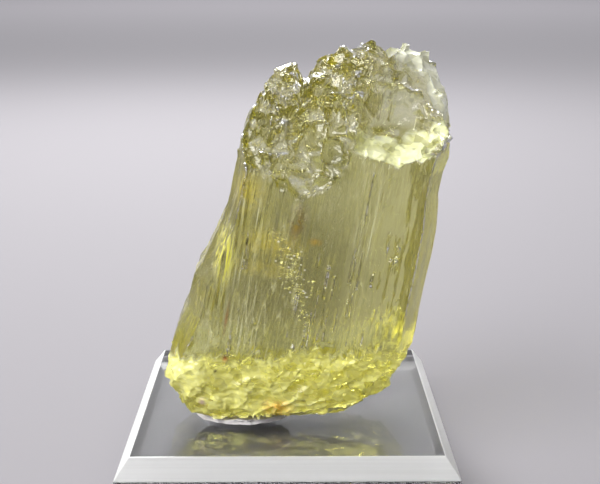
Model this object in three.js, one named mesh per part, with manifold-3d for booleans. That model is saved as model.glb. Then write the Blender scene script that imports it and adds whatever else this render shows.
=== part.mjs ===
// A heliodor (yellow beryl) crystal standing on a clear acrylic display base, held by a pad of white tack.
// Millimetres, +Z up. The origin is the centre of the base's underside, and -Y is the crystal's front.
// The crystal is modelled about its own long axis, with z = 0 level with the base's top, and then leaned.
import * as THREE from "three";
import { mergeVertices } from "three/addons/utils/BufferGeometryUtils.js";
import Module from "manifold-3d";

const wasm = await Module();
wasm.setup();

// The display base.
const BASE_SIDE = 60;
const BASE_HEIGHT = 8;
const BEVEL_WIDTH = 2.45;
const BEVEL_DROP = 3.4;

// The crystal: a flattened prism that narrows upwards, grooved along its length. Its broad front and back
// and its two narrow sides are joined by bevels that stand at 60 degrees to the front.
const LEAN = THREE.MathUtils.degToRad(10);
const FRONT_Y = -16;
const BACK_Y = 14;
const LEFT_EDGE = -24.6;
const RIGHT_EDGE = 22.8;
const FRONT_BEVEL = { left: 3.6, right: 3.8 };
const BACK_BEVEL = { left: 4.8, right: 3.8 };
const SIXTY = Math.tan(Math.PI / 3);
// How far the two edges stand in from the prism's own at each height, and how far across the faces that
// reaches, so that the grooves in the middle stay straight.
const SIDE_EDGES = [
  // height, left edge, right edge
  [-12, -23.0, 20.6],
  [2, -24.8, 22.2],
  [7, -24.6, 22.8],
  [12, -24.1, 22.4],
  [15, -23.5, 21.5],
  [18, -22.5, 20.9],
  [24.8, -22.0, 20.7],
  [27, -20.9, 20.7],
  [31, -19.8, 20.7],
  [36, -18.4, 20.8],
  [41, -17.9, 20.7],
  [47, -17.8, 19.9],
  [51, -17.5, 19.9],
  [57, -16.8, 21.0],
  [62, -14.6, 21.3],
  [66, -13.9, 20.7],
  [76, -13.4, 16.8],
];
const EDGE_REACH = 17;
// The number of grooves on each face, anticlockwise from the front.
const GROOVES = {
  front: 39, frontRight: 5, right: 10, backRight: 4, back: 21, backLeft: 5, left: 10, frontLeft: 5,
};
const GROOVE_DEPTH = 0.36;

// The top of the crystal: x and the greatest height there.
const CREST = [
  [-19, 48], [-17.4, 54.4], [-15.9, 57.4], [-14.4, 61.5], [-13.8, 64.6], [-11.2, 65.1], [-9.9, 66.2],
  [-8.2, 64.2], [-7.6, 62.6], [-7.1, 62.6], [-6.9, 65.2], [-6.1, 66.7], [-4.2, 68.2], [-1.5, 69.6],
  [1.1, 70.9], [2.7, 71.9], [4.6, 70.6], [7.2, 69.4], [8.4, 71.3], [10.1, 71.8], [12.2, 70.8],
  [13.8, 70.6], [15.2, 68.9], [16.7, 68.2], [18.7, 65.6], [19.9, 63], [21.5, 56],
];
// Where each part of the top stands in depth: x, the y of its front, and the y of its highest line.
const CREST_DEPTH = [
  [-20, -12, -6], [-8, -12, -5], [-6.9, -11, -4], [6.6, -10, -4], [7.4, -6, 3], [12, -4, 5], [16, -3, 5],
  [22, -4, 2],
];
// The lower edge of the etched hollow and of the broken ledge, on the front face: x and z.
const LIP = [
  [-19, 49], [-16.5, 47.2], [-13, 46.2], [-9, 44.2], [-5.3, 43.2], [-2.1, 44.6], [1.2, 47.5],
  [2.6, 52.8], [5.9, 51.9], [8.7, 52], [10.6, 51.2], [12.7, 52.6], [15, 53], [16.9, 55.4],
  [18.7, 58.1], [22, 62],
];
// The smooth upright wall behind the ledge.
const WALL = { left: 4, right: 13.2, bottom: 57.8, top: 64.2, depth: 10 };
const FRONT_CELL = 1.4;
const TOP_CELL = 1.8;

// The broken foot, measured upright from the base's top: height, left, right, front and back of the outline.
const FOOT = [
  [1.2, -17.0, 7.2, -13.9, -5.0],
  [2.0, -18.6, 11.0, -14.7, -1.5],
  [3.4, -20.2, 14.6, -15.1, 2.0],
  [5.0, -21.5, 17.4, -15.4, 4.8],
  [6.8, -22.6, 19.4, -15.6, 7.6],
  [8.7, -23.5, 20.8, -15.7, 9.8],
  [10.8, -24.2, 22.2, -15.8, 11.8],
  [13.2, -25.0, 23.6, -15.9, 13.4],
  [15.8, -26.6, 25.4, -16.2, 15.0],
  [19.0, -29.0, 28.5, -18.5, 18.5],
];
const FOOT_POINTS = 58;
const FOOT_SQUARENESS = 4.4;
const FOOT_ROUGHNESS = 0.5;

// Detail finer than this is left out of the finished crystal.
const SMALLEST_DETAIL = 0.05;

// The tack pad.
const TACK = { x: -8.4, y: -6.6, halfX: 9.4, halfY: 7.8, thickness: 5 };
const TACK_GAP = 0.3;

const materials = {
  crystal: new THREE.MeshStandardMaterial({
    color: 0xd9d26a, roughness: 0.08, metalness: 0, transparent: true, opacity: 0.45,
  }),
  tack: new THREE.MeshStandardMaterial({ color: 0xd9d3d0, roughness: 0.75, metalness: 0 }),
  base: new THREE.MeshStandardMaterial({
    color: 0xeef1f2, roughness: 0.05, metalness: 0, transparent: true, opacity: 0.3,
  }),
};

function randomFrom(seed) {
  let state = seed >>> 0;
  return () => {
    state = (Math.imul(state, 1664525) + 1013904223) >>> 0;
    return state / 4294967296;
  };
}

const between = (random, low, high) => low + (high - low) * random();
const clamp01 = (value) => THREE.MathUtils.clamp(value, 0, 1);
const lerp = THREE.MathUtils.lerp;

// Straight-line reading of a column in a table whose rows start with x.
function readTable(table, x, column = 1) {
  if (x <= table[0][0]) return table[0][column];
  for (let i = 1; i < table.length; i++) {
    const [low, high] = [table[i - 1], table[i]];
    if (x <= high[0]) return lerp(low[column], high[column], (x - low[0]) / (high[0] - low[0]));
  }
  return table[table.length - 1][column];
}

function solidOf(geometry) {
  const plain = geometry.clone();
  plain.deleteAttribute("normal");
  plain.deleteAttribute("uv");
  const merged = mergeVertices(plain, 1e-4);
  return new wasm.Manifold(
    new wasm.Mesh({
      numProp: 3,
      vertProperties: new Float32Array(merged.attributes.position.array),
      triVerts: new Uint32Array(merged.index.array),
    }),
  );
}

function geometryOf(solid) {
  const mesh = solid.getMesh();
  const positions = new Float32Array(mesh.numVert * 3);
  for (let i = 0; i < mesh.numVert; i++) {
    positions.set(mesh.vertProperties.subarray(i * mesh.numProp, i * mesh.numProp + 3), i * 3);
  }
  const geometry = new THREE.BufferGeometry();
  geometry.setAttribute("position", new THREE.BufferAttribute(positions, 3));
  geometry.setIndex(new THREE.BufferAttribute(mesh.triVerts, 1));
  const flat = geometry.toNonIndexed();
  flat.computeVertexNormals();
  return flat;
}

function joined(solids) {
  return solids.reduce((sum, solid) => sum.add(solid));
}

// The main body of a solid, without any crumb that a cut has left loose beside it.
function largestBody(solid) {
  return solid.decompose().reduce((best, body) => (body.volume() > best.volume() ? body : best));
}

function indexedGeometry(positions, indices) {
  const geometry = new THREE.BufferGeometry();
  geometry.setAttribute("position", new THREE.Float32BufferAttribute(positions, 3));
  geometry.setIndex(indices);
  return geometry;
}

// A closed skin through rings of points, each ring a level of the same number of points, from bottom to top.
function loft(rings) {
  const count = rings[0].length;
  const indices = [];
  for (let level = 0; level + 1 < rings.length; level++) {
    for (let i = 0; i < count; i++) {
      const a = level * count + i;
      const b = level * count + ((i + 1) % count);
      indices.push(a, b, b + count, a, b + count, a + count);
    }
  }
  const capOf = (ring) =>
    THREE.ShapeUtils.triangulateShape(ring.map(([x, y]) => new THREE.Vector2(x, y)), []);
  const last = (rings.length - 1) * count;
  for (const [a, b, c] of capOf(rings[0])) indices.push(c, b, a);
  for (const [a, b, c] of capOf(rings[rings.length - 1])) indices.push(last + a, last + b, last + c);
  return indexedGeometry(rings.flat(2), indices);
}

// The prism's corners at its widest, anticlockwise from the front left, in the order of GROOVES.
const CORNERS = [
  [LEFT_EDGE + FRONT_BEVEL.left, FRONT_Y],
  [RIGHT_EDGE - FRONT_BEVEL.right, FRONT_Y],
  [RIGHT_EDGE, FRONT_Y + FRONT_BEVEL.right * SIXTY],
  [RIGHT_EDGE, BACK_Y - BACK_BEVEL.right * SIXTY],
  [RIGHT_EDGE - BACK_BEVEL.right, BACK_Y],
  [LEFT_EDGE + BACK_BEVEL.left, BACK_Y],
  [LEFT_EDGE, BACK_Y - BACK_BEVEL.left * SIXTY],
  [LEFT_EDGE, FRONT_Y + FRONT_BEVEL.left * SIXTY],
];

// One ring of the prism, with the grooves that run along the crystal pressed into each face.
function prismRing(height, left, right, faces) {
  const drawIn = (x) =>
    x +
    (left - LEFT_EDGE) * clamp01(1 - (x - LEFT_EDGE) / EDGE_REACH) +
    (right - RIGHT_EDGE) * clamp01(1 - (RIGHT_EDGE - x) / EDGE_REACH);
  const ring = [];
  faces.forEach((grooves, side) => {
    const [ax, ay] = CORNERS[side];
    const [bx, by] = CORNERS[(side + 1) % CORNERS.length];
    const length = Math.hypot(bx - ax, by - ay);
    const outward = [(by - ay) / length, -(bx - ax) / length];
    for (const { share, depth, waveStart, waveLength } of grooves) {
      const press = depth * (0.7 + 0.3 * Math.sin(waveStart + height / waveLength));
      ring.push([
        drawIn(ax + (bx - ax) * share - outward[0] * press),
        ay + (by - ay) * share - outward[1] * press,
        height,
      ]);
    }
  });
  return ring;
}

function makeGrooves(random) {
  return Object.values(GROOVES).map((count) =>
    Array.from({ length: count }, (_, i) => {
      const deep = i % 2 === 1 ? between(random, 0.35, 1) : between(random, 0, 0.25);
      return {
        share: i === 0 ? 0 : (i + between(random, -0.32, 0.32)) / count,
        depth: i === 0 ? 0 : deep * GROOVE_DEPTH,
        waveStart: between(random, 0, 2 * Math.PI),
        waveLength: between(random, 5, 14),
      };
    }),
  );
}

function prism() {
  const faces = makeGrooves(randomFrom(11));
  return loft(SIDE_EDGES.map(([height, left, right]) => prismRing(height, left, right, faces)));
}

// A block over a rectangle in u and v: its uneven face is heightAt(u, v), and it is filled from there up to
// the lid.
function unevenBlock(uRange, vRange, cell, lid, heightAt, random) {
  const columns = Math.round((uRange[1] - uRange[0]) / cell);
  const rows = Math.round((vRange[1] - vRange[0]) / cell);
  const stride = columns + 1;
  const positions = [];
  const indices = [];
  for (let row = 0; row <= rows; row++) {
    for (let column = 0; column <= columns; column++) {
      const inside = row > 0 && row < rows && column > 0 && column < columns;
      const shift = () => (inside ? between(random, -0.36, 0.36) * cell : 0);
      const u = uRange[0] + column * cell + shift();
      const v = vRange[0] + row * cell + shift();
      positions.push(u, v, heightAt(u, v));
    }
  }
  for (let row = 0; row < rows; row++) {
    for (let column = 0; column < columns; column++) {
      const a = row * stride + column;
      const [b, c, d] = [a + 1, a + stride, a + stride + 1];
      if (random() < 0.5) indices.push(a, c, b, b, c, d);
      else indices.push(a, c, d, a, d, b);
    }
  }
  const rim = [];
  for (let column = 0; column < columns; column++) rim.push(column);
  for (let row = 0; row < rows; row++) rim.push(row * stride + columns);
  for (let column = columns; column > 0; column--) rim.push(rows * stride + column);
  for (let row = rows; row > 0; row--) rim.push(row * stride);
  const firstLid = positions.length / 3;
  const centre = firstLid + rim.length;
  for (const i of rim) positions.push(positions[i * 3], positions[i * 3 + 1], lid);
  positions.push((uRange[0] + uRange[1]) / 2, (vRange[0] + vRange[1]) / 2, lid);
  rim.forEach((low, i) => {
    const next = (i + 1) % rim.length;
    indices.push(low, rim[next], firstLid + next, low, firstLid + next, firstLid + i);
    indices.push(firstLid + i, firstLid + next, centre);
  });
  return indexedGeometry(positions, indices);
}

// Etched steps: each block of an uneven lattice stands at its own level, from -0.5 to 0.5.
function etchedStep(u, v, size, seed) {
  const across = Math.floor((u + 0.35 * v) / size);
  const along = Math.floor((v - 0.22 * u) / (size * 0.8));
  const random = randomFrom(across * 7919 + along * 104729 + seed * 31);
  random();
  return random() - 0.5;
}

// How far the etched hollow, the ledge and its wall are cut back from the front, before the small steps.
function frontCutback(x, z) {
  const aboveLip = z - readTable(LIP, x);
  if (aboveLip < 0) return -1.5;
  if (x > WALL.left - 0.8 && x < WALL.right + 0.6) {
    if (z > WALL.top) return WALL.depth - 1.8 + 0.45 * (z - WALL.top);
    const share = clamp01(aboveLip / (WALL.bottom - readTable(LIP, x)));
    return WALL.depth * share ** 0.9;
  }
  if (x >= WALL.right + 0.6) return Math.min(0.9 + 0.95 * aboveLip, 8.5 + 0.2 * aboveLip);
  const leftCorner = readTable(SIDE_EDGES, z) + FRONT_BEVEL.left + 1;
  const flank = Math.min(Math.max(leftCorner - x, 0) * SIXTY, 4.5) * clamp01(aboveLip / 5);
  const step = 1.2 * clamp01(aboveLip / 0.9);
  const hollow = step + 3.4 * clamp01(aboveLip / 13) ** 0.8 + Math.max(z - 63, 0) * 0.8;
  const creaseAcross = Math.abs(x + 6.7) / 1.7;
  const crease = 3.4 * clamp01(1 - creaseAcross) * clamp01((z - 49) / 7);
  const ribX = lerp(2.3, -0.4, clamp01((z - 53.5) / 9));
  const rib = 2.3 * clamp01(1.5 - Math.abs(x - ribX) / 1.3) * clamp01(aboveLip / 5) * clamp01((66 - z) / 4);
  return hollow + flank + crease - rib;
}

// The larger smooth faces among the etched steps: the wall, one on the main top and one on the pinnacle.
const SMOOTH_FACES = [
  { x: [WALL.left, WALL.right], z: [WALL.bottom - 0.4, WALL.top - 0.4], rough: 0.12 },
  { x: [-2.6, 4], z: [61.4, 64.2], rough: 0.15 },
  { x: [-10.8, -8.2], z: [57.8, 63.6], rough: 0.2 },
];

function roughnessAt(x, z, cutback) {
  const inside = (value, [low, high]) => value > low && value < high;
  const smooth = SMOOTH_FACES.find((face) => inside(x, face.x) && inside(z, face.z));
  return smooth ? smooth.rough : clamp01(0.35 + cutback / 3);
}

// Everything in front of the etched upper front. It is made lying on its back and stood up.
function frontCutter() {
  const random = randomFrom(59);
  const heightAt = (x, z) => {
    const cutback = frontCutback(x, z);
    if (cutback < 0) return -FRONT_Y + 2;
    const flutes = Math.abs(x - 9.4) < 1.6 && z < WALL.top ? 0.8 * etchedStep(x * 3, 0, 2, 8) : 0;
    const steps = 1.9 * etchedStep(x, z, 2.7, 5) + 0.9 * (random() - 0.5);
    return -FRONT_Y - cutback + flutes + roughnessAt(x, z, cutback) * steps;
  };
  const geometry = unevenBlock([-23, 25], [41, 77], FRONT_CELL, 30, heightAt, random);
  geometry.rotateX(Math.PI / 2);
  return geometry;
}

// Height of the broken top, before its small steps.
function topHeight(x, y) {
  const crest = readTable(CREST, x);
  const [frontY, crestY] = [readTable(CREST_DEPTH, x, 1), readTable(CREST_DEPTH, x, 2)];
  if (y > crestY) return crest - 0.3 * (y - crestY) - 0.035 * (y - crestY) ** 2;
  const drop = x > 7 ? 6.5 : 3.5;
  return crest - drop * (1 - clamp01((y - frontY) / (crestY - frontY))) ** 1.4;
}

function topCutter() {
  const random = randomFrom(29);
  const heightAt = (x, y) =>
    topHeight(x, y) + 1.3 * etchedStep(x, y, 3.1, 5) + 0.8 * (random() - 0.7);
  return unevenBlock([-26, 26], [-19, 18], TOP_CELL, 90, heightAt, random);
}

// The deep notch between the narrow left pinnacle and the main top.
function notchCutter() {
  const outline = [[-7.3, 61.6], [-6.5, 66], [-6.2, 80], [-7.4, 80], [-8.3, 66.5]];
  const shape = new THREE.Shape(outline.map(([x, z]) => new THREE.Vector2(x, z)));
  const wedge = new THREE.ExtrudeGeometry(shape, { depth: 40, bevelEnabled: false });
  wedge.rotateX(Math.PI / 2);
  wedge.translate(0, 20, 0);
  return wedge;
}

// The rough rounded foot: the crystal keeps only what lies inside it. It is made upright, then turned into
// the crystal's own frame.
function footBlock() {
  const random = randomFrom(43);
  const rings = FOOT.map(([height, left, right, front, back], level) => {
    const middleX = (left + right) / 2;
    const middleY = (front + back) / 2;
    return Array.from({ length: FOOT_POINTS }, (_, i) => {
      const turn = ((i + between(random, -0.25, 0.25)) / FOOT_POINTS) * 2 * Math.PI;
      const [c, s] = [Math.cos(turn), Math.sin(turn)];
      const round = Math.abs(c) ** FOOT_SQUARENESS + Math.abs(s) ** FOOT_SQUARENESS;
      const square = round ** (-1 / FOOT_SQUARENESS);
      const lump = between(random, -1, 1) + 0.6 * etchedStep(i * 1.7, level * 2, 3, 2);
      const rough = FOOT_ROUGHNESS * lump;
      const rise = level === 0 ? between(random, -0.1, 0.3) : between(random, -0.4, 0.4);
      return [
        middleX + c * (square * (right - left) * 0.5 + rough),
        middleY + s * (square * (back - front) * 0.5 + rough),
        height + rise,
      ];
    });
  });
  const last = rings[rings.length - 1];
  rings.push(last.map(([x, y]) => [x * 1.6, y * 1.6, 120]));
  const geometry = loft(rings);
  geometry.rotateY(-LEAN);
  return geometry;
}

// A block of the etched top, nearly squared to the crystal's axis.
function etchedBlock(random, x, y, z, size) {
  const width = size * between(random, 0.7, 1.4);
  const block = new THREE.BoxGeometry(width, size, size * between(random, 0.8, 1.7));
  block.rotateZ(between(random, -0.7, 0.7));
  block.rotateX(between(random, -0.5, 0.5));
  block.rotateY(between(random, -0.4, 0.4));
  block.translate(x, y, z);
  return solidOf(block);
}

// Blocks along the etched front, their middles at the given share of their size behind the surface.
function frontBlocks(random, count, share) {
  const blocks = [];
  while (blocks.length < count) {
    const x = between(random, -15, 18);
    const z = between(random, 45.5, 67);
    const size = between(random, 1.4, 2.7);
    const cutback = frontCutback(x, z);
    const onWall = x > WALL.left - 1.8 && x < WALL.right + 0.8 && z > WALL.bottom - 6;
    const inNotch = Math.abs(x + 7.2) < 2;
    if (cutback < 1.2 || onWall || inNotch || z > readTable(CREST, x) - 0.8 * size) continue;
    blocks.push(etchedBlock(random, x, FRONT_Y + cutback + share * size, z, size));
  }
  return joined(blocks);
}

// Blocks along the broken top, their middles at the given share of their size under the surface.
function topBlocks(random, count, share) {
  const blocks = [];
  while (blocks.length < count) {
    const x = between(random, -12.5, 17.5);
    const y = between(random, x > 3 && x < 14 ? 0 : -8, 10.5);
    const size = between(random, 1.6, 3);
    if (Math.abs(x + 7.2) < 2.2) continue;
    blocks.push(etchedBlock(random, x, y, topHeight(x, y) - share * size, size));
  }
  return joined(blocks);
}

// A raised strip along the crystal: it rises slowly out of the face and ends in a small square step.
function strip(x, z, width, height, length, upward) {
  const shape = new THREE.BoxGeometry(width, 2 * height, length);
  const position = shape.attributes.position;
  for (let i = 0; i < position.count; i++) {
    if (position.getZ(i) * upward > 0) {
      position.setX(i, position.getX(i) * 0.35);
      if (position.getY(i) < 0) position.setY(i, height * 0.6);
    }
  }
  shape.translate(x, FRONT_Y + 0.25, z);
  return solidOf(shape);
}

function frontStrips() {
  const random = randomFrom(97);
  const strips = [];
  for (let i = 0; i < 11; i++) {
    const length = between(random, 10, 24);
    const z = between(random, 22, 42);
    const width = between(random, 0.7, 1.5);
    strips.push(strip(between(random, 1.8, 8), z, width, 0.55, length, i % 3 ? 1 : -1));
  }
  for (let i = 0; i < 20; i++) {
    const length = between(random, 5, 18);
    const z = between(random, 18, 38);
    const width = between(random, 0.6, 1.4);
    strips.push(strip(between(random, -14.5, 15), z, width, 0.5, length, i % 4 ? 1 : -1));
  }
  return joined(strips);
}

// Shallow pointed pits along the crystal, on the back and near the right edge of the front.
function sidePits() {
  const random = randomFrom(131);
  const sites = [
    { count: 22, x: [-12, 10], y: BACK_Y, z: [18, 56], depth: 0.8 },
    { count: 12, x: [10.5, 16], y: FRONT_Y, z: [16, 46], depth: 0.55 },
  ];
  const pits = [];
  for (const { count, x, y, z, depth } of sites) {
    for (let i = 0; i < count; i++) {
      const pit = new THREE.OctahedronGeometry(1);
      pit.scale(between(random, 0.35, 0.8), depth, between(random, 1.2, 3.6));
      pit.translate(between(random, ...x), y, between(random, ...z));
      pits.push(solidOf(pit));
    }
  }
  return joined(pits);
}

function crystalSolid() {
  const body = solidOf(prism());
  const random = randomFrom(71);
  const etched = body
    .subtract(solidOf(frontCutter()))
    .subtract(solidOf(topCutter()))
    .add(frontBlocks(random, 28, 0.32).add(topBlocks(random, 14, 0.58)).intersect(body))
    .subtract(frontBlocks(random, 26, -0.3))
    .subtract(topBlocks(random, 12, -0.3))
    .subtract(solidOf(notchCutter()))
    .add(frontStrips())
    .subtract(sidePits())
    .intersect(solidOf(footBlock()));
  return largestBody(etched.simplify(SMALLEST_DETAIL));
}

// The tack, pressed out from under the crystal, whose leaning solid is given.
function tackSolid(leaningCrystal) {
  const pad = new THREE.SphereGeometry(1, 18, 10);
  pad.rotateX(Math.PI / 2);
  pad.scale(TACK.halfX, TACK.halfY, TACK.thickness);
  pad.translate(TACK.x, TACK.y, 0);
  const aboveBase = new THREE.BoxGeometry(BASE_SIDE, BASE_SIDE, 10);
  aboveBase.translate(0, 0, 5);
  return largestBody(
    solidOf(pad).intersect(solidOf(aboveBase)).subtract(leaningCrystal.translate([0, 0, -TACK_GAP])),
  );
}

function squareRing(half, height) {
  return [[-half, -half, height], [half, -half, height], [half, half, height], [-half, half, height]];
}

function baseGeometry() {
  const half = BASE_SIDE / 2;
  const geometry = loft([
    squareRing(half, 0),
    squareRing(half, BASE_HEIGHT - BEVEL_DROP),
    squareRing(half - BEVEL_WIDTH, BASE_HEIGHT),
  ]).toNonIndexed();
  geometry.computeVertexNormals();
  return geometry;
}

function named(name, geometry, material) {
  const mesh = new THREE.Mesh(geometry, material);
  mesh.name = name;
  return mesh;
}

const upright = crystalSolid();
const crystal = named("crystal", geometryOf(upright), materials.crystal);
crystal.rotation.y = LEAN;
crystal.position.z = BASE_HEIGHT;

const leaning = upright.rotate([0, THREE.MathUtils.radToDeg(LEAN), 0]);
const tack = named("tack_pad", geometryOf(tackSolid(leaning)), materials.tack);
tack.position.z = BASE_HEIGHT;

const specimen = new THREE.Group();
specimen.add(crystal, tack, named("display_base", baseGeometry(), materials.base));

export default specimen;
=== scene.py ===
# A heliodor crystal on a clear acrylic display base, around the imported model's frame.
# Metres, +Z up; the crystal's broad front face looks along -Y.
import math
import random

import bmesh
import bpy
import numpy as np
from mathutils import Matrix, Vector, kdtree, noise


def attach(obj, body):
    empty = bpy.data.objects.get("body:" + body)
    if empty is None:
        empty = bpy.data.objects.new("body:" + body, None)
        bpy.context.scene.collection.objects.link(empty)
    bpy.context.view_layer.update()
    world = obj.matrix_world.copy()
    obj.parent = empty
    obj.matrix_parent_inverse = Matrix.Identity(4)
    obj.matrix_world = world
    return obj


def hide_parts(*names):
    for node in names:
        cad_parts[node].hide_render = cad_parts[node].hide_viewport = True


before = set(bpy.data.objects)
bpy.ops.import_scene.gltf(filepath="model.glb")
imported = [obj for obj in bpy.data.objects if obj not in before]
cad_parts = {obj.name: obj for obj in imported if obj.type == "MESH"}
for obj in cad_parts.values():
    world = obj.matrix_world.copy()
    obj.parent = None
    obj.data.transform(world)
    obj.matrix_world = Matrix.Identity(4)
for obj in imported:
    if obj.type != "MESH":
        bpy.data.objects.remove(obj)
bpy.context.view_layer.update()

MM = 0.001
LEAN = math.radians(10)  # of the crystal's long axis, to its left
UPRIGHT = Matrix.Rotation(-LEAN, 3, "Y")
BASE_TOP = 8 * MM
BERYL_IOR = 1.575
ACRYLIC_IOR = 1.49
SIDE_BARE, TOP_BARE = 0.15, 0.55  # shares of the base's faces that refract without reflecting
EYE = (0.8, -200.5, 89.1)  # the camera's place in millimetres
EYE_TURN = (90 - 13.886, 0, -0.45)  # and its turn in degrees
LIGHTS = (  # name, place, target and size in metres, power in watts, colour
    ("overhead", (-0.08, 0.47, 0.5), (0, 0.26, 0.0), (0.3, 0.3), 5.2, (1, 1, 0.99)),
    ("far", (0, 3.4, 3.0), (0, 3.0, 0.0), (2, 2), 150.0, (0.98, 0.98, 1)),
    ("side", (-0.5, -0.38, 0.5), (0, 0, 0.02), (0.6, 0.5), 7.5, (1, 1, 1)),
)

MERGE_WITHIN = 0.004  # millimetres, like all the lengths below
EASED_EDGE = 0.16  # of the base
FACE_RELIEF, ETCHED_RELIEF, FOOT_RELIEF, TACK_RELIEF = 1.0, 1.0, 1.2, 0.8  # greatest depths
DENT_COUNT, CRACK_COUNT = 26, 34

# The places and heights below are in the crystal's own upright frame.
FOOT_TOP = 15.0  # of the broken foot, straight up from the base's top
BACK_LIP = 57  # the lower edge of the etching on the sides and the back
LIP = (  # x and height of the lower edge of the etched hollow and of the ledge
    (-19, 49), (-16.5, 47.2), (-13, 46.2), (-9, 44.2), (-5.3, 43.2), (-2.1, 44.6), (1.2, 47.5),
    (2.6, 52.8), (5.9, 51.9), (8.7, 52), (10.6, 51.2), (12.7, 52.6), (15, 53), (16.9, 55.4),
    (18.7, 58.1), (22, 62),
)
FRONT_LINES = (  # seed, count, and the ranges of middles, lower ends, lengths, half widths, rises
    (3, 150, (-23, -4), (8, 40), (5, 22), (0.2, 0.75), (0.08, 0.3)),  # fine, on the left
    (4, 46, (-5, 6), (10, 36), (3, 12), (0.12, 0.5), (0.06, 0.2)),  # short, in the middle
    (5, 26, (4.5, 9.5), (16, 36), (8, 22), (0.25, 0.7), (0.12, 0.28)),  # a bundle right of it
    (6, 16, (2.5, 9), (38, 50), (4, 12), (0.2, 0.6), (0.12, 0.3)),  # the bundle's upper end
    (7, 22, (9, 21), (10, 45), (6, 20), (0.5, 1.8), (0.04, 0.12)),  # low and wide, on the right
    (8, 60, (-20, 20), (9, 15), (3, 9), (0.2, 0.7), (0.1, 0.35)),  # just above the foot
)
BACK_LINES = ((21, 80, (-22, 22), (8, 46), (8, 30), (0.6, 2.4), (0.1, 0.4)),)
SIDE_LINES = ((22, 60, (-15, 13), (8, 46), (8, 30), (0.4, 1.6), (0.1, 0.4)),)
LEVEL_STEPS = (  # x, height and half length of the level steps on the front
    (10, 49, 1.6), (10.1, 44.5, 1.0), (12.6, 39.1, 1.0), (3.6, 42, 0.7), (5.6, 41.5, 1.1),
)
STAINS_AND_PAINTED_LIGHT = {  # centre, radii, colour and share of the real stains, and of the painted glows and painted shade
    # painted glow: three yellow patches standing for light reflected inside the crystal, also made
    # cloudy so that they shine
    "upper glow": ((-8.5, -15, 34.0), (8.0, 5, 3.2), (0.95, 0.82, 0.20), 0.85),
    "lower glow": ((-9.0, -15, 29.3), (6.5, 5, 2.2), (0.92, 0.80, 0.22), 0.8),
    "left glow": ((-15.0, -14, 42.5), (5.0, 8, 5.0), (0.95, 0.80, 0.12), 1.0),
    "brown": ((-4.9, -15, 38.3), (2.2, 5, 5.2), (0.26, 0.18, 0.02), 1.0),
    "orange": ((-1.2, -15, 35.6), (1.5, 4, 0.9), (0.90, 0.50, 0.06), 1.0),
    "upper rust": ((-14.5, -15, 18.9), (0.4, 4, 4.4), (0.40, 0.15, 0.08), 1.0),
    "lower rust": ((-13.5, -15, 11.5), (0.8, 5, 1.1), (0.60, 0.16, 0.08), 1.0),
    "low orange": ((-2.5, -15, 3.2), (3.6, 5, 2.4), (1.00, 0.58, 0.10), 1.0),
    "pink": ((-16.4, -14, 1.8), (0.9, 5, 1.4), (0.85, 0.62, 0.58), 0.9),
    "upper smudge": ((-14.8, -15, 12.8), (0.9, 5, 0.4), (0.22, 0.19, 0.10), 0.9),
    "lower smudge": ((-14.9, -15, 8.6), (0.4, 5, 0.5), (0.22, 0.19, 0.10), 0.9),
    # painted shade: a dark olive patch under the main peak of the etched top
    "peak shade": ((1.0, -13, 49.6), (3.4, 8, 5.5), (0.22, 0.22, 0.05), 1.0),
    # painted shade: a darker grey patch low on the right of the front
    "shade": ((15.5, -14, 20.5), (5.6, 9, 6.0), (0.30, 0.30, 0.24), 1.0),
}
BUNDLES = (  # centre and radii of the stretches with hair-fine lines painted pale, painted highlights along fine cracks and ridge edges
    ((7.0, -15, 38.0), (2.6, 4, 16.0)),
    ((-11.5, -15, 19.0), (6.0, 4, 9.0)),
    ((-13.5, -15, 36.0), (4.5, 6, 14.0)),
)
GLINT_STRETCHES = (  # centre and radii of the stretches with tiny painted glints, bright dots painted as highlights
    ((-8.5, -15, 35.0), (3.2, 4, 2.4)),
    ((-4.8, -15, 31.0), (4.2, 4, 5.0)),
    ((-3.2, -15, 27.0), (3.4, 4, 3.5)),
    ((-1.2, -15, 21.5), (1.8, 4, 6.5)),
)
VEIL = (  # x and height of both ends of a stretch of fluid inclusions, its spread and its count
    ((-9.5, 36), (-7.5, 34.5), 1.6, 16),
    ((-7, 34), (-2.5, 28), 2.4, 70),
    ((-5, 28.5), (-1.5, 25.5), 1.8, 44),
    ((-2.6, 26), (0.5, 17.5), 1.0, 52),
)


# ---------------------------------------------------------------- camera
def add_camera():
    bpy.ops.object.camera_add(
        location=[value * MM for value in EYE],
        rotation=[math.radians(angle) for angle in EYE_TURN],
    )
    camera = bpy.context.object
    camera.name = "camera"
    camera.data.sensor_width = 36
    camera.data.lens = 64.8
    camera.data.clip_start = 0.005
    camera.data.clip_end = 20
    bpy.context.scene.camera = camera


# ---------------------------------------------------------------- modelling tools
def only(piece):
    bpy.ops.object.select_all(action="DESELECT")
    piece.select_set(True)
    bpy.context.view_layer.objects.active = piece


def copy_of_node(node, name):
    """A copy of a node's mesh as a piece of its own, with its doubled points merged."""
    piece = bpy.data.objects.new(name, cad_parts[node].data.copy())
    bpy.context.scene.collection.objects.link(piece)
    piece.data.materials.clear()
    only(piece)
    bpy.ops.object.mode_set(mode="EDIT")
    bpy.ops.mesh.select_all(action="SELECT")
    bpy.ops.mesh.remove_doubles(threshold=MERGE_WITHIN * MM)
    bpy.ops.object.mode_set(mode="OBJECT")
    return piece


def own_place(point):
    """A point in the crystal's own upright frame, in millimetres."""
    return UPRIGHT @ (point - Vector((0, 0, BASE_TOP))) / MM


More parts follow.
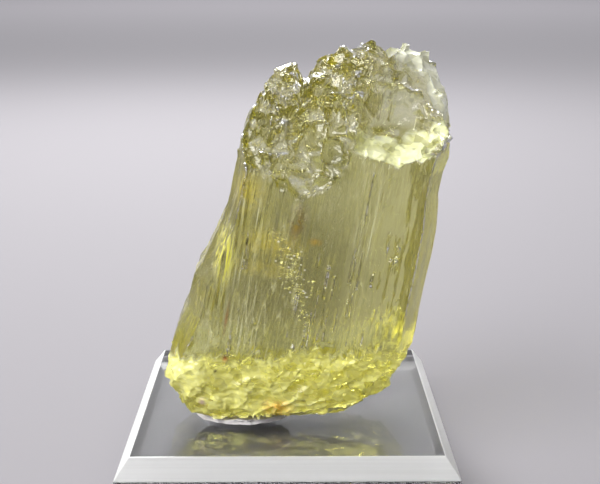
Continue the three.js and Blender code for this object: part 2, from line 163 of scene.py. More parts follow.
def refine(piece, longest_at, rounds):
    """Splits every edge that is longer than longest_at allows at its middle, again and again."""
    only(piece)
    bpy.ops.object.mode_set(mode="EDIT")
    bpy.ops.mesh.select_mode(type="EDGE")
    for _ in range(rounds):
        bpy.ops.mesh.select_all(action="DESELECT")
        mesh = bmesh.from_edit_mesh(piece.data)
        for edge in mesh.edges:
            a, b = (vertex.co for vertex in edge.verts)
            edge.select_set((a - b).length > longest_at(own_place((a + b) / 2)) * MM)
        bmesh.update_edit_mesh(piece.data)
        bpy.ops.mesh.subdivide(number_cuts=1, ngon=False)
        bpy.ops.mesh.select_all(action="SELECT")
        bpy.ops.mesh.quads_convert_to_tris(quad_method="BEAUTY", ngon_method="BEAUTY")
    bpy.ops.object.mode_set(mode="OBJECT")


def measured(piece):
    """Every point of the piece and its normal, in the crystal's own frame."""
    turn = np.array(UPRIGHT)
    count = len(piece.data.vertices)
    points, normals = np.empty(count * 3), np.empty(count * 3)
    piece.data.vertices.foreach_get("co", points)
    piece.data.vertices.foreach_get("normal", normals)
    points = (points.reshape(-1, 3) - (0, 0, BASE_TOP)) / MM
    return points @ turn.T, normals.reshape(-1, 3) @ turn.T


def weigh(piece, group, shares):
    """Fills a vertex group from one share for each point."""
    made = piece.vertex_groups.new(name=group)
    for index, share in enumerate(shares.tolist()):
        if share > 0:
            made.add([index], min(share, 1), "REPLACE")


def reshape(piece, kind, shares=None, **settings):
    """Applies a modifier, and where shares are given, by each point's own share."""
    modifier = piece.modifiers.new("reshape", kind)
    for key, value in settings.items():
        setattr(modifier, key, value)
    if shares is not None:
        weigh(piece, "share", shares)
        modifier.vertex_group = "share"
    only(piece)
    bpy.ops.object.modifier_apply(modifier=modifier.name)
    if shares is not None:
        piece.vertex_groups.remove(piece.vertex_groups["share"])


def carve(piece, depth, shares):
    """Sinks each point by its share of depth, in millimetres, along its normal."""
    reshape(piece, "DISPLACE", clamp(shares), strength=-depth * MM, mid_level=0)


def soften(piece, shares, rounds):
    """Rounds off sharp edges where the shares say so."""
    reshape(piece, "SMOOTH", shares, factor=0.5, iterations=rounds)


# ---------------------------------------------------------------- zones of the crystal
def clamp(values):
    return np.clip(values, 0.0, 1.0)


def wobble(own, *sizes):
    """Smooth noise from -1 to 1, with lumps of the given sizes."""
    return np.array([noise.noise(point) for point in (own / sizes).tolist()])


def lip_height(x):
    return np.interp(x, [place[0] for place in LIP], [place[1] for place in LIP])


def foot_share(own):
    """The broken foot; its ragged upper edge sinks towards the back."""
    x, y, z = own.T
    height = z * math.cos(LEAN) - x * math.sin(LEAN) + 0.19 * clamp((y + 16) / 28) * 28
    ragged = 2.6 * wobble(own, 1.3, 3.0, 8.0) + 1.8 * wobble(own, 6.0, 6.0, 9.0)
    return clamp((FOOT_TOP + ragged - height) / 0.9)


def etched_share(own):
    """The etched and broken top, above the lip."""
    x, y, z = own.T
    edge = np.where(y < -4, lip_height(x), BACK_LIP)
    return clamp((z - edge) / 1.2 + 0.5)


def ledge_share(own):
    """The pale broken ledge on the right of the front, under the smooth wall."""
    x, y, z = own.T
    rise = z - lip_height(x)
    ragged = 1.4 * wobble(own, 2.3, 2.3, 2.3)
    across = np.minimum(x - 2.2, 19.5 - x)
    top = 4.6 + 1.6 * clamp((x - 12) / 4) + ragged
    return clamp(across / 1.2) * clamp(rise / 0.3) * clamp((top - rise) / 1.6) * clamp((-4 - y) / 3)


def cream_share(own):
    """The pale mass that stands behind the wall, on the right."""
    x, y, z = own.T
    ragged = 1.2 * wobble(own, 2.1, 2.1, 2.1)
    behind = y + 1.5 + 5 * clamp((x - 14.5) / 3)
    return clamp((x - 6.2 + ragged) / 2) * clamp((z - 57.5 + ragged) / 3) * clamp(behind / 2)


def window_share(own):
    """The smooth clear wall above the ledge."""
    x, y, z = own.T
    across = clamp((x - 3.6) / 1.2) * clamp((14.2 - x) / 1.2)
    return across * clamp((z - 57) / 1.5) * clamp((65.2 - z) / 1.2) * clamp(-y / 3)


def calm_share(own):
    """Two smooth stretches of the front: the middle, and the right beyond the bundle of lines."""
    x, y, z = own.T
    middle = 1 - np.hypot((x - 1.5) / 5.5, (z - 29) / 16)
    right = 1 - np.hypot((x - 14.5) / 6.0, (z - 33) / 20)
    return clamp(np.maximum(middle, right) * 3) * clamp((-10 - y) / 2)


def glow_share(own):
    """Streaks on the left and back, painted a saturated yellow and cloudy: a painted glow of the
    light from within.
    """
    x, y, z = own.T
    streaks = wobble(own, 1.0, 1.4, 22.0) + 0.5 * wobble(own, 2.6, 2.6, 9.0)
    band = clamp(1 - abs(z - 31 - 11 * streaks) / 7)
    return band * clamp((-5 - x) / 3 + streaks) * clamp((y + 9) / 3)


# ---------------------------------------------------------------- relief of the crystal
def facets(own, size, lean, seed):
    """Heights of broken facets, each of them flat and leaning its own way round its middle."""
    source = np.random.default_rng(seed)
    place = own / size
    low, high = place.min(0) - 0.5, place.max(0) + 0.5
    count = int(np.prod(high - low))
    middles = source.uniform(low, high, (count, 3))
    leans = source.normal(0, lean, (count, 3))
    tree = kdtree.KDTree(count)
    for index, middle in enumerate(middles.tolist()):
        tree.insert(middle, index)
    tree.balance()
    nearest = np.array([tree.find(point)[1] for point in place.tolist()])
    return ((place - middles[nearest]) * leans[nearest]).sum(1)


def growth_lines(stretches):
    """Random growth ridges, each with its middle, lower end, upper end, half width and rise."""
    lines = []
    for seed, count, across, along, lengths, halves, rises in stretches:
        source = random.Random(seed)
        for _ in range(count):
            low = source.uniform(*along)
            line = (source.uniform(*across), low, low + source.uniform(*lengths))
            lines.append(line + (source.uniform(*halves), source.uniform(*rises)))
    return lines


def ridges(across, along, stretches):
    """Heights of growth ridges, with rounded ends and a sharper right flank."""
    height = np.zeros(len(across))
    for middle, low, high, half, rise in growth_lines(stretches):
        aside = across - middle
        ends = clamp(np.minimum(along - low, high - along) / (1.6 * half))
        reach = half * np.sqrt(ends * (2 - ends)) - abs(aside)
        flank = 0.35 + 0.65 * clamp((aside + half) / (2 * half))
        ridge = rise * clamp(reach / 0.45) * flank
        height = np.maximum(height, ridge) + 0.2 * np.minimum(height, ridge)
    return height


def front_pits(own):
    """Depths of the small dents low on the right of the front and of its level steps."""
    across, _, up = own.T
    source = random.Random(12)
    sunk = np.zeros(len(own))
    for _ in range(DENT_COUNT):
        x, z = source.uniform(13.6, 18), source.uniform(20, 36)
        half, tall = source.uniform(0.25, 0.6), source.uniform(0.5, 1.3)
        x += (30 - z) * 0.12
        far = ((across - x) / half) ** 2 + ((up - z) / tall) ** 2
        sunk += 0.3 * clamp(1 - far)
    for x, z, half in LEVEL_STEPS:
        step = clamp((z - up) / 0.25) * clamp((up - z + 3) / 3)
        sunk += 0.3 * step * clamp((half - abs(across - x)) / 0.3)
    return sunk


def prism_relief(own, front, back, sides, calm):
    """Heights of the growth ridges, streaks and pits of the prism's faces."""
    x, y, z = own.T
    streaks = wobble(own, 0.6, 0.9, 8.0) * 0.2 + wobble(own, 2.2, 2.2, 14.0) * 0.25
    front_height = (0.6 * ridges(x, z, FRONT_LINES) + streaks) * (1 - 0.75 * calm)
    front_height -= front_pits(own)
    back_height = ridges(x, z, BACK_LINES) + streaks
    side_height = ridges(y, z, SIDE_LINES) + streaks
    return front * front_height + back * back_height + sides * side_height


def etched_relief(own, window):
    """Depths of the etched top's facets, drawn out to flutes on the left and calmer behind."""
    x, y, z = own.T
    coarse = facets(own, (4.2, 3.8, 3.0), lean=0.6, seed=31)
    fine = facets(own, (2.0, 2.0, 1.6), lean=0.4, seed=32) * clamp(0.5 - y / 8)
    flutes = facets(own, (1.1, 1.6, 4.5), lean=0.5, seed=35)
    fluted = clamp((-10.5 - x) / 2) * clamp((BACK_LIP - z) / 3)
    cut = (coarse * 0.6 + fine * 0.14) * (1 - fluted) + flutes * 0.5 * fluted
    calmed = (1 - 0.85 * window) * (1 - 0.5 * cream_share(own)) * (1 - 0.4 * clamp((y - 2) / 4))
    return 0.42 + cut * calmed


def foot_relief(own):
    """Depths of the foot's broken shells and chips."""
    shells = facets(own, (3.6, 3.2, 2.3), lean=0.5, seed=33)
    chips = facets(own, (1.5, 1.5, 0.9), lean=0.5, seed=34)
    return 0.5 + 0.55 * shells + 0.25 * chips


def etch_crystal(piece):
    """Carves all the relief, and gives every point's share of the zones the material reads."""
    own, normal = measured(piece)
    x, y, z = own.T
    right, away, up = normal.T
    foot, etched = foot_share(own), etched_share(own)
    window, calm = window_share(own), calm_share(own)
    faces = clamp(1 - foot - etched)
    front = faces * clamp((-0.5 - away) * 4)
    back = faces * clamp((away - 0.2) * 3)
    sides = faces * clamp((abs(right) - 0.6) * 3)

    soften(piece, faces * clamp((abs(away) - 0.5) * 4), rounds=20)
    rise = prism_relief(own, front, back, sides, calm)
    carve(piece, FACE_RELIEF, faces * (0.5 - 0.55 * rise))
    carve(piece, ETCHED_RELIEF, etched * etched_relief(own, window))
    soften(piece, etched * (1 - 0.7 * clamp((z - 62) / 4)), rounds=1)
    carve(piece, FOOT_RELIEF, foot * foot_relief(own))
    return {
        "foot": foot,
        "etched": etched * (1 - 0.9 * window),
        "front": front,
        "window": window,
        "calm": calm,
        "ledge": ledge_share(own),
        "cream": cream_share(own) * (1 - 0.55 * clamp(away)),
        "glow": glow_share(own),
        "under": foot * clamp(-up * 3 + (y + 4) / 4) * clamp((13 - x) / 5),
        # painted shade: the faces that look down, low on the foot, are painted darker
        "belly_shade": clamp((-up - 0.7) * 5) * clamp((6 - z) / 3),
        "bruised": faces * clamp((y + 2) / 4) * clamp((7 - x) / 3),
        "flanks": (faces + 0.5 * etched) * clamp((abs(right) - 0.45) * 3),
    }


# ---------------------------------------------------------------- material tools
class Nodes:
    """The node tree of a material or a world, built a node at a time."""

    def __init__(self, owner, output="OutputMaterial"):
        owner.use_nodes = True
        self.owner = owner
        self.tree = owner.node_tree
        self.tree.nodes.clear()
        self.output = self.add(output)

    def add(self, kind, inputs=None, **settings):
        node = self.tree.nodes.new("ShaderNode" + kind)
        for key, value in settings.items():
            setattr(node, key, value)
        for socket, value in (inputs or {}).items():
            target = node.inputs[socket]
            if isinstance(value, bpy.types.NodeSocket):
                self.tree.links.new(value, target)
            elif target.type == "RGBA":
                target.default_value = (*value, 1)
            else:
                target.default_value = value
        return node

    def end_with(self, shader, target="Surface"):
        """Links a shader to the output, and gives what the tree belongs to."""
        self.tree.links.new(shader.outputs[0], self.output.inputs[target])
        return self.owner

    def maths(self, operation, a, b=0.0, clamped=False):
        return self.add("Math", {0: a, 1: b}, operation=operation, use_clamp=clamped).outputs[0]

    def times(self, a, b):
        return self.maths("MULTIPLY", a, b)

    def total(self, *terms):
        """The sum of value-and-weight pairs."""
        result = 0.0
        for value, weight in terms:
            result = self.maths("ADD", result, self.times(value, weight))
        return result

    def greatest(self, *terms):
        """The greatest product among value-and-weight pairs, and never below nothing."""
        result = 0.0
        for value, weight in terms:
            result = self.maths("MAXIMUM", result, self.times(value, weight))
        return result

    def spread(self, value, low, high, to_low=0.0, to_high=1.0):
        inputs = {
            "Value": value, "From Min": low, "From Max": high, "To Min": to_low, "To Max": to_high,
        }
        return self.add("MapRange", inputs).outputs["Result"]

    def mix(self, factor, a, b):
        return self.add("Mix", {0: factor, 6: a, 7: b}, data_type="RGBA").outputs[2]

    def blend(self, factor, a, b):
        return self.add("Mix", {0: factor, 2: a, 3: b}).outputs[0]

    def noise(self, vector, scale, detail=2.0, roughness=0.5):
        inputs = {"Vector": vector, "Scale": scale, "Detail": detail, "Roughness": roughness}
        return self.add("TexNoise", inputs).outputs["Fac"]

    def cells(self, vector, scale=1.0, output="Color"):
        return self.add("TexVoronoi", {"Vector": vector, "Scale": scale}).outputs[output]

    def vector_maths(self, operation, inputs):
        return self.add("VectorMath", inputs, operation=operation).outputs

    def panes(self, normal, vector, amount):
        """The normal, leant its own way inside each cell of the vector's space."""
        lean = self.vector_maths("SUBTRACT", {0: self.cells(vector), 1: (0.5, 0.5, 0.5)})[0]
        lean = self.vector_maths("SCALE", {0: lean, "Scale": amount})[0]
        leant = self.vector_maths("ADD", {0: normal, 1: lean})[0]
        return self.vector_maths("NORMALIZE", {0: leant})[0]

    def zone(self, name):
        return self.add("Attribute", attribute_name=name).outputs["Fac"]

    def object_space(self):
        """Metres in the piece's own frame."""
        return self.add("TexCoord").outputs["Object"]

    def crystal_space(self, *stretch):
        """Millimetres in the crystal's upright frame, divided by stretch."""
        upright = self.add("Mapping", {
            "Vector": self.object_space(), "Location": (0, 0, BASE_TOP), "Rotation": (0, LEAN, 0),
            "Scale": (MM, MM, MM),
        }, vector_type="TEXTURE").outputs[0]
        if not stretch:
            return upright
        shrunk = {"Vector": upright, "Scale": [1 / value for value in stretch]}
        return self.add("Mapping", shrunk).outputs[0]

    def patch(self, place, centre, radii, edge=0.5):
        """One inside an ellipsoid about centre, falling to nothing at its skin."""
        inputs = {"Vector": place, "Location": centre, "Scale": radii}
        inside = self.add("Mapping", inputs, vector_type="TEXTURE").outputs[0]
        far = self.vector_maths("LENGTH", {0: inside})["Value"]
        return self.spread(far, 1.0, 1.0 - edge)

    def patches(self, place, places, edge=0.5):
        """One inside any of the ellipsoids."""
        return self.greatest(*((self.patch(place, *where, edge), 1.0) for where in places))


def new_material(name):
    return Nodes(bpy.data.materials.new(name))


# ---------------------------------------------------------------- heliodor
def terraces(nodes, stretch, count):
    """Where in its growth step each point lies, from 0 to 1, and the edges of the steps."""
    hills = nodes.noise(nodes.crystal_space(*stretch), 1.0, 1.5, 0.45)
    step = nodes.maths("FRACT", nodes.times(hills, count))
    return step, nodes.spread(step, 0.03, 0.2, 1.0, 0.0)


def striations(nodes):
    """Height of the fine growth lines along the prism's faces, and the edges of its terraces."""
    wide_step, wide_edge = terraces(nodes, (3.2, 3.2, 30), 9.0)
    slim_step, slim_edge = terraces(nodes, (1.3, 1.3, 17), 7.0)
    height = nodes.total(
        (nodes.cells(nodes.crystal_space(0.8, 0.8, 9)), 0.06),
        (nodes.cells(nodes.crystal_space(0.4, 0.4, 5)), 0.03),
        (nodes.noise(nodes.crystal_space(0.4, 0.4, 8), 1.0, 3, 0.6), 0.15),
        (wide_step, 0.16),
        (slim_step, 0.09),
    )
    return height, nodes.maths("MAXIMUM", wide_edge, nodes.times(slim_edge, 0.7))


def etching(nodes):
    """Height of the small steps and facets of the etched top."""
    place = nodes.crystal_space(1.0, 1.0, 0.8)
    return nodes.total((nodes.cells(place), 0.02), (nodes.noise(place, 0.8, 2), 0.05))


def fracture(nodes):
    """Height of the shell-like chips of the broken foot."""
    place = nodes.crystal_space(1.5, 1.5, 1.0)
    return nodes.total(
        (nodes.cells(place, output="Distance"), 0.22),
        (nodes.cells(place, 1.7), 0.06),
        (nodes.noise(place, 1.5, 2), 0.15),
    )


def beryl_patterns(nodes):
    """The painted zones, and the noises and fine figures that several of the looks share."""
    at = {name: nodes.zone(name) for name in (
        "foot", "etched", "ledge", "cream", "glow", "under", "bruised", "flanks", "front", "belly_shade",
        "window", "calm",
    )}
    place = nodes.crystal_space()
    at["place"] = place
    at["grain"] = nodes.noise(nodes.crystal_space(0.45, 0.45, 7), 1.0, 3, 0.65)
    at["mottle"] = nodes.noise(place, 0.8, 3, 0.6)
    at["chip"] = nodes.cells(nodes.crystal_space(1.9, 1.9, 1.2))
    at["pane"] = nodes.cells(nodes.crystal_space(3.0, 3.4, 2.3))
    at["pale pane"] = nodes.times(nodes.spread(at["pane"], 0.54, 0.62), at["etched"])

    lines, edges = striations(nodes)
    at["lines"] = nodes.times(lines, nodes.spread(at["calm"], 0.0, 1.0, 1.0, 0.25))
    # painted highlight: the terrace edges on the front are painted pale and a little cloudy
    edges = nodes.times(edges, nodes.spread(at["calm"], 0.0, 1.0, 1.0, 0.2))
    at["edges"] = nodes.times(at["front"], edges)

    # painted glow: a saturated yellow, cloudy streak on the left of the front, standing for light
    # reflected inside along the left flank
    at["streak"] = nodes.times(
        nodes.patch(place, (-16.4, -11, 30), (2.6, 9, 8)), nodes.spread(at["grain"], 0.44, 0.56))
    # painted highlight: hair-fine lines painted pale and cloudy along fine cracks and ridge edges
    hair = nodes.noise(nodes.crystal_space(0.22, 0.5, 11), 1.0, 2)
    hair = nodes.times(nodes.spread(hair, 0.57, 0.63), nodes.patches(place, BUNDLES))
    at["hair"] = nodes.times(hair, at["front"])
    # painted highlight: tiny near-white cloudy dots where the front would glint
    pit = nodes.cells(nodes.crystal_space(1.1, 3.0, 0.75), output="Distance")
    pit = nodes.times(nodes.spread(pit, 0.16, 0.22, 1.0, 0.0), at["front"])
    at["pit"] = nodes.times(pit, nodes.patches(place, GLINT_STRETCHES, 0.4))
    return at


def beryl_normal(nodes, at):
    """Growth lines on the faces, and leaning panes where the stone is etched or broken."""
    height = nodes.blend(at["etched"], at["lines"], etching(nodes))
    height = nodes.blend(at["foot"], height, fracture(nodes))
    bump = nodes.add("Bump", {"Height": height, "Strength": 0.8, "Distance": MM}).outputs[0]
    broken = nodes.total((at["etched"], 0.4), (at["foot"], 0.16), (at["ledge"], 0.3))
    return nodes.panes(bump, nodes.crystal_space(2.8, 2.8, 1.9), broken)


def beryl_milk(nodes, at):
    """How cloudy the stone is: the share of the light that it scatters."""
    place, grain, mottle, chip = (at[name] for name in ("place", "grain", "mottle", "chip"))
    far_right = nodes.patch(place, (18, 5, 8), (13, 15, 14))
    low_middle = nodes.patch(place, (-4, -14, 4), (17, 7, 5.5))
    low_left = nodes.patch(place, (-20, -10, 8), (8, 9, 8))
    dimmed = nodes.times(at["foot"], nodes.spread(far_right, 0.0, 1.0, 1.0, 0.2))
    terms = [
        (dimmed, nodes.spread(chip, 0.25, 0.95, 0.24, 0.74)),
        (nodes.times(at["foot"], low_middle), nodes.spread(chip, 0.25, 0.9, 0.4, 0.8)),
        (nodes.times(at["foot"], low_left), nodes.spread(chip, 0.1, 0.8, 0.6, 1.0)),
        (at["under"], nodes.spread(mottle, 0.3, 0.6, 0.7, 1.0)),
        (at["ledge"], nodes.spread(chip, 0.1, 0.7, 0.35, 0.95)),
        (at["cream"], nodes.spread(chip, 0.1, 0.8, 0.4, 0.9)),
        # this and the four terms below make the painted glows and painted highlights cloudy so that
        # they shine
        (at["glow"], nodes.spread(grain, 0.42, 0.62, 0.05, 0.5)),
        (at["edges"], nodes.spread(nodes.noise(place, 0.22, 2), 0.42, 0.58, 0.0, 0.3)),
        (at["streak"], 0.75),
        (at["hair"], 0.32),
        (at["pit"], 0.9),
        (at["pale pane"], nodes.spread(mottle, 0.3, 0.7, 0.06, 0.26)),
        (at["window"], 0.14),
    ]
    cloud = nodes.spread(grain, 0.45, 0.6, 0.0, 0.35)
    thick_cloud = nodes.spread(mottle, 0.42, 0.56, 0.0, 0.8)
    # the painted yellow glows, and the real brown stain, are made cloudy
    for name, amount in (
        ("upper glow", cloud), ("lower glow", cloud), ("left glow", cloud),
        ("brown", thick_cloud),
    ):
        centre, radii, _, _ = STAINS_AND_PAINTED_LIGHT[name]
        terms.append((nodes.patch(place, centre, radii, 0.8), amount))
    return nodes.greatest(*terms)


def beryl_tint(nodes, at):
    """The colours of the zones, laid over each other in this order."""
    place, grain, mottle = (at[name] for name in ("place", "grain", "mottle"))
    even = nodes.blend(nodes.times(at["calm"], 0.8), grain, 0.5)
    tint = nodes.mix(nodes.spread(even, 0.36, 0.62), (0.60, 0.61, 0.46), (0.90, 0.90, 0.84))
    deep = nodes.patch(place, (-5, -8, 27), (19, 60, 25), 0.6)
    etched_pane = nodes.spread(at["pane"], 0.36, 0.42)
    layers = [
        (deep, nodes.mix(even, (0.18, 0.175, 0.11), (0.54, 0.53, 0.34))),
        # painted highlight along the terrace edges
        (at["edges"], (0.93, 0.92, 0.62)),
        # painted highlight of the hair-fine lines
        (at["hair"], (0.95, 0.95, 0.74)),
        (at["etched"], nodes.mix(etched_pane, (0.64, 0.64, 0.36), (1.0, 1.0, 0.96))),
        (at["pale pane"], (0.93, 0.93, 0.90)),
        (at["flanks"], nodes.mix(grain, (0.72, 0.70, 0.34), (0.92, 0.90, 0.62))),
        # the foot: a frosted fracture, and its saturated yellow is a painted glow of the light
        # running down inside the crystal
        (at["foot"], nodes.mix(mottle, (1.0, 0.96, 0.14), (1.0, 1.0, 0.52))),
        (at["ledge"], nodes.mix(mottle, (0.95, 0.97, 0.36), (0.98, 1.0, 0.80))),
        (at["cream"], nodes.mix(mottle, (0.88, 0.89, 0.62), (0.98, 0.99, 0.90))),
        (at["window"], (0.98, 0.98, 1.0)),
        # painted glow of the yellow streaks on the left and back
        (at["glow"], nodes.mix(mottle, (1.0, 0.93, 0.16), (1.0, 0.97, 0.42))),
        # painted shade on the downward faces of the foot
        (at["belly_shade"], nodes.mix(mottle, (0.50, 0.46, 0.14), (0.82, 0.77, 0.32))),
    ]
    uneven = nodes.spread(mottle, 0.36, 0.52, 0.2, 1.0)
    # real stains, painted glows and painted shade, each laid on as a patch
    for centre, radii, colour, amount in STAINS_AND_PAINTED_LIGHT.values():
        stain_and_light_patch = nodes.times(nodes.patch(place, centre, radii, 0.8), uneven)
        layers.append((nodes.times(stain_and_light_patch, amount), colour))
    # the yellow streak is painted glow, and the bright dots are painted highlights
    layers += [(at["streak"], (1.0, 0.94, 0.08)), (at["pit"], (1.0, 1.0, 0.92))]
    for share, colour in layers:
        tint = nodes.mix(share, tint, colour)
    return tint


def beryl_roughness(nodes, at):
    """Smooth growth faces, a light frost where etched or broken, and duller bruised sides."""
    haze = nodes.spread(nodes.noise(at["place"], 0.35, 3), 0.4, 0.75, 0.0, 0.06)
    frost = nodes.spread(nodes.noise(at["place"], 0.9, 2), 0.4, 0.8, 0.02, 0.16)
    roughness = nodes.blend(nodes.maths("MAXIMUM", at["foot"], at["etched"]), haze, frost)
    bruise = nodes.times(at["bruised"], nodes.spread(at["grain"], 0.3, 0.7, 0.05, 0.4))
    return nodes.maths("ADD", roughness, bruise)


def beryl():
    nodes = new_material("heliodor")
    at = beryl_patterns(nodes)
    clearness = nodes.maths("SUBTRACT", 1.0, beryl_milk(nodes, at), clamped=True)
    shader = nodes.add("BsdfPrincipled", {
        "Base Color": beryl_tint(nodes, at), "Roughness": beryl_roughness(nodes, at),
        "Normal": beryl_normal(nodes, at), "Transmission Weight": clearness, "IOR": BERYL_IOR,
    })
    absorption = nodes.add("VolumeAbsorption", {"Color": (0.86, 0.84, 0.28), "Density": 45.0})
    nodes.end_with(absorption, "Volume")
    return nodes.end_with(shader)


# ---------------------------------------------------------------- other materials
def fluid():
    """The mirror-bright walls of the fluid inclusions."""
    nodes = new_material("fluid_inclusions")
    tarnish = nodes.noise(nodes.crystal_space(), 1.5)
    return nodes.end_with(nodes.add("BsdfPrincipled", {
        "Base Color": nodes.mix(tarnish, (0.98, 0.97, 0.75), (1.0, 1.0, 1.0)),
        "Metallic": 1.0, "Roughness": nodes.spread(tarnish, 0.3, 0.7, 0.15, 0.4),
    }))


def dark_crack():
    nodes = new_material("crack_walls")
    dust = nodes.noise(nodes.crystal_space(), 2.5)
    return nodes.end_with(nodes.add("BsdfPrincipled", {
        "Base Color": nodes.mix(dust, (0.16, 0.15, 0.06), (0.45, 0.42, 0.2)),
        "Roughness": nodes.spread(dust, 0.3, 0.7, 0.2, 0.5),
    }))


def clear_acrylic(name, bare_share):
    """Clear acrylic; a bare share of its face refracts without reflecting."""
    nodes = new_material(name)
    roughness = nodes.spread(nodes.noise(nodes.object_space(), 900), 0.4, 0.7, 0.03, 0.12)
    shader = nodes.add("BsdfPrincipled", {
        "Base Color": (0.985, 0.99, 0.99), "Roughness": roughness,
        "Transmission Weight": 1.0, "IOR": ACRYLIC_IOR,
    })
    bare = nodes.add("BsdfRefraction", {
        "Color": (0.97, 0.975, 0.975), "Roughness": roughness, "IOR": ACRYLIC_IOR,
    })
    shares = {0: bare_share, 1: shader.outputs[0], 2: bare.outputs[0]}
    return nodes.end_with(nodes.add("MixShader", shares))


def satin_acrylic():
    """Acrylic as cut, with the saw's fine lines along it."""
    nodes = new_material("satin_acrylic")
    lines = nodes.add("Mapping", {"Vector": nodes.object_space(), "Scale": (20, 900, 2600)})
    cut = nodes.noise(lines.outputs[0], 1.0)
    bump = nodes.add("Bump", {"Height": cut, "Strength": 0.25, "Distance": 0.05 * MM})
    return nodes.end_with(nodes.add("BsdfPrincipled", {
        "Base Color": nodes.mix(cut, (0.70, 0.70, 0.69), (0.84, 0.84, 0.83)),
        "Roughness": nodes.spread(cut, 0.3, 0.7, 0.34, 0.5), "Normal": bump.outputs[0],
        "Transmission Weight": 0.35, "IOR": ACRYLIC_IOR,
    }))


def putty():
    nodes = new_material("white_tack")
    place = nodes.object_space()
    dents = nodes.noise(place, 420, 3)
    bump = nodes.add("Bump", {"Height": dents, "Strength": 0.5, "Distance": 0.3 * MM})
    shade = nodes.mix(nodes.noise(place, 260), (0.62, 0.585, 0.58), (0.78, 0.75, 0.745))
    return nodes.end_with(nodes.add("BsdfPrincipled", {
        "Base Color": shade, "Roughness": nodes.spread(dents, 0.3, 0.7, 0.55, 0.8),
        "Normal": bump.outputs[0],
    }))


def pale_floor():
    nodes = new_material("pale_floor")
    matt = {"Base Color": (0.187, 0.178, 0.191), "Roughness": 0.8}
    return nodes.end_with(nodes.add("BsdfPrincipled", matt))


# ---------------------------------------------------------------- pieces
def finish(piece, node):
    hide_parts(node)
    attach(piece, "root")


def longest_edge(own):
    """The finest mesh goes where the growth lines and the etching are."""
    if own.z > 42:
        return 0.72 if own.y < 3 else 1.0
    if own.y < -13.5 or own.z < 15:
        return 0.62 if own.y < -11 else 0.9
    return 1.35


def make_crystal():
    piece = copy_of_node("crystal", "heliodor_crystal")
    refine(piece, longest_edge, rounds=7)
    for name, shares in etch_crystal(piece).items():
        weigh(piece, name, shares)
    piece.data.materials.append(beryl())
    bpy.ops.object.shade_smooth_by_angle(angle=math.radians(34))
    finish(piece, "crystal")


def add_pebble(name, detail):
    """A round pebble of one millimetre's radius, to be shaped and scattered."""
    bpy.ops.mesh.primitive_ico_sphere_add(subdivisions=detail, radius=MM, location=(0, 0, 0))
    pebble = bpy.context.object
    pebble.name = name
    return pebble


def scatter(piece, places):
    """Copies the piece to each place, as x, y, z, length, width, lean and tilt, and joins them."""
    name, copies = piece.name, []
    for x, y, z, length, width, lean, tilt in places:
        copy = bpy.data.objects.new(name + "_part", piece.data.copy())
        bpy.context.scene.collection.objects.link(copy)
        turn = Matrix.Rotation(LEAN, 4, "Y") @ Matrix.Translation(Vector((x, y, z)) * MM)
        shape = Matrix.Rotation(lean, 4, "Y") @ Matrix.Rotation(tilt, 4, "X")
        shape = shape @ Matrix.Diagonal((length, width, width * 0.35, 1))
        copy.matrix_world = Matrix.Translation((0, 0, BASE_TOP)) @ turn @ shape
        copies.append(copy)
    bpy.data.objects.remove(piece)
    bpy.context.view_layer.update()
    only(copies[0])  # it is the active one, which the rest are joined to
    for copy in copies:
        copy.select_set(True)
    bpy.ops.object.join()
    bpy.ops.object.transform_apply(location=True, rotation=True, scale=True)
    joined = bpy.context.object
    joined.name = joined.data.name = name
    return joined


def make_inclusions():
    """A veil of tiny flat fluid inclusions just behind the front face."""
    speck = add_pebble("inclusion_veil", 1)
    bpy.ops.object.mode_set(mode="EDIT")
    bpy.ops.mesh.select_all(action="SELECT")
    bpy.ops.mesh.bevel(offset=0.12 * MM, segments=1, affect="EDGES")
    bpy.ops.object.mode_set(mode="OBJECT")
    source = random.Random(41)
    places = []
    for (x0, z0), (x1, z1), spread, count in VEIL:
        for _ in range(count):
            along = source.random()
            x = x0 + (x1 - x0) * along + source.gauss(0, spread * 0.5)
            z = z0 + (z1 - z0) * along + source.gauss(0, spread * 0.5)
            length, y = source.uniform(0.16, 0.42), source.uniform(-14.8, -13.8)
            width = length * source.uniform(0.35, 0.7)
            lean, tilt = source.uniform(-0.6, 0.1), source.uniform(1.05, 1.45)
            places.append((x, y, z, length, width, lean, tilt))
    piece = scatter(speck, places)
    piece.data.materials.append(fluid())
    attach(piece, "root")


def make_cracks():
    """Small dark crescent cracks in the foot, just behind its broken front."""
    crack = add_pebble("foot_cracks", 2)
    for vertex in crack.data.vertices:
        vertex.co.z += 0.9 * MM * (1 - (vertex.co.x / MM) ** 2)
    source = random.Random(42)
    places = []
    for _ in range(CRACK_COUNT):
        x, length = source.uniform(-13, 10), source.uniform(0.4, 0.95)
        y, z = source.uniform(-13.2, -12), source.uniform(4.5, 12)
        places.append((x, y, z, length, length * 0.22, source.uniform(-0.7, 0.7), -0.6))
    piece = scatter(crack, places)
    piece.data.materials.append(dark_crack())
    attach(piece, "root")


def make_base():
    """The clear slab, its edges a little eased, its bevels satin and its top a weaker mirror."""
    piece = copy_of_node("display_base", "acrylic_base")
    reshape(piece, "BEVEL", width=EASED_EDGE * MM, segments=2, limit_method="ANGLE",
            angle_limit=math.radians(20))
    piece.data.materials.append(clear_acrylic("clear_acrylic", SIDE_BARE))
    piece.data.materials.append(satin_acrylic())
    piece.data.materials.append(clear_acrylic("clear_acrylic_top", TOP_BARE))
    bevels, top = 1, 2
    for polygon in piece.data.polygons:
        if 0.1 < polygon.normal.z < 0.99:
            polygon.material_index = bevels
        elif polygon.normal.z > 0.99:
            polygon.material_index = top
    finish(piece, "display_base")


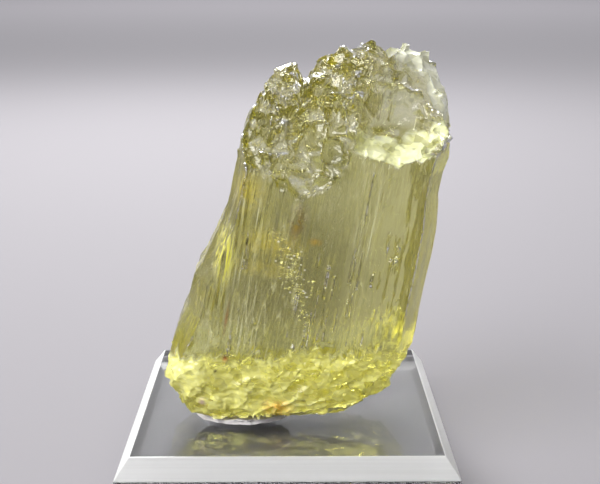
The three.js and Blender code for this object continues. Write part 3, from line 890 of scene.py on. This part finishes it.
def make_tack():
    """The pad, lumpy round its rim and never below the base's top."""
    piece = copy_of_node("tack_pad", "white_tack_pad")
    refine(piece, lambda own: 0.5, rounds=5)
    own, normal = measured(piece)
    lumps = 0.5 + 1.0 * wobble(own, 3.2, 3.2, 2.0) + 0.5 * wobble(own, 1.1, 1.1, 0.9)
    carve(piece, TACK_RELIEF, lumps * clamp((0.8 - abs(normal[:, 2])) * 4))
    for vertex in piece.data.vertices:
        vertex.co.z = max(vertex.co.z, BASE_TOP)
    piece.data.materials.append(putty())
    bpy.ops.object.shade_smooth_by_angle(angle=math.radians(60))
    finish(piece, "tack_pad")


# ---------------------------------------------------------------- surroundings
def make_floor():
    """A plain floor, a hair below the base so that the two faces stay apart."""
    bpy.ops.mesh.primitive_plane_add(size=1, location=(0, 0, -0.2 * MM))
    floor = bpy.context.object
    floor.name = "floor"
    floor.scale = (16, 16, 1)
    bpy.ops.object.transform_apply(location=True, rotation=True, scale=True)
    floor.data.materials.append(pale_floor())


def add_light(name, place, target, size, power, colour):
    """An area light that looks from its place at its target."""
    turn = (Vector(target) - Vector(place)).to_track_quat("-Z", "Y").to_euler()
    bpy.ops.object.light_add(type="AREA", location=place, rotation=turn)
    light = bpy.context.object
    light.name = name
    light.data.shape = "RECTANGLE"
    light.data.size, light.data.size_y = size
    light.data.energy = power
    light.data.color = colour


def make_world():
    """A soft studio: dim round the horizon in front, brighter overhead and behind."""
    world = bpy.data.worlds.new("studio")
    bpy.context.scene.world = world
    nodes = Nodes(world, "OutputWorld")
    direction = nodes.add("TexCoord").outputs["Generated"]
    axes = nodes.add("SeparateXYZ", {"Vector": direction}).outputs
    upper = nodes.spread(axes["Z"], 0.0, 0.5, 0.3, 0.5)
    behind = nodes.spread(axes["Y"], 0.1, 0.8, 0.0, 0.45)
    sky = {"Color": (0.97, 0.97, 1.0), "Strength": nodes.maths("ADD", upper, behind)}
    nodes.end_with(nodes.add("Background", sky))


def light_scene():
    make_world()
    for light in LIGHTS:
        add_light(*light)
    scene = bpy.context.scene
    scene.view_settings.view_transform = "Standard"
    scene.cycles.max_bounces = 24
    scene.cycles.glossy_bounces = 12
    scene.cycles.transmission_bounces = 24


add_camera()
make_crystal()
make_inclusions()
make_cracks()
make_base()
make_tack()
make_floor()
light_scene()
